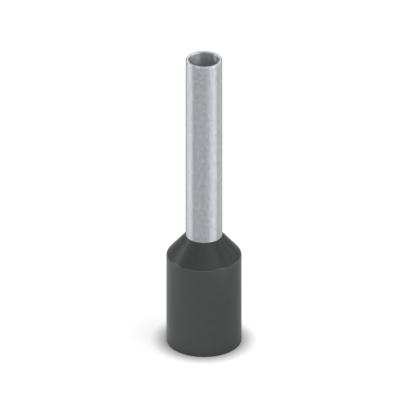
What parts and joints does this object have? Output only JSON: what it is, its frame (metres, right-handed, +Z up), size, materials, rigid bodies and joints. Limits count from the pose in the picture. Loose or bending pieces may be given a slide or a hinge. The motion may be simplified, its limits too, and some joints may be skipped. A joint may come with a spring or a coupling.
{
  "type": "wire ferrule",
  "caption": "Insulated wire end ferrule: a thin tin-plated tube, open from end to end, held in a moulded plastic collar with a sloped shoulder.",
  "frame": {"origin": "centre of the ring that the collar stands on, at its open lower end", "axes": "+Z up along the ferrule's axis, from the collar's open base to the sleeve's open tip; the part is round, so X and Y are free"},
  "size_m": [0.0038, 0.0038, 0.016],
  "materials": {
    "tinned_copper": "tin-plated copper, satin silver grey with a fine mottled grain",
    "collar_plastic": "moulded polypropylene, satin dark grey"
  },
  "bodies": {
    "root": {"metal_sleeve": "tinned_copper", "plastic_collar": "collar_plastic"}
  },
  "joints": []
}
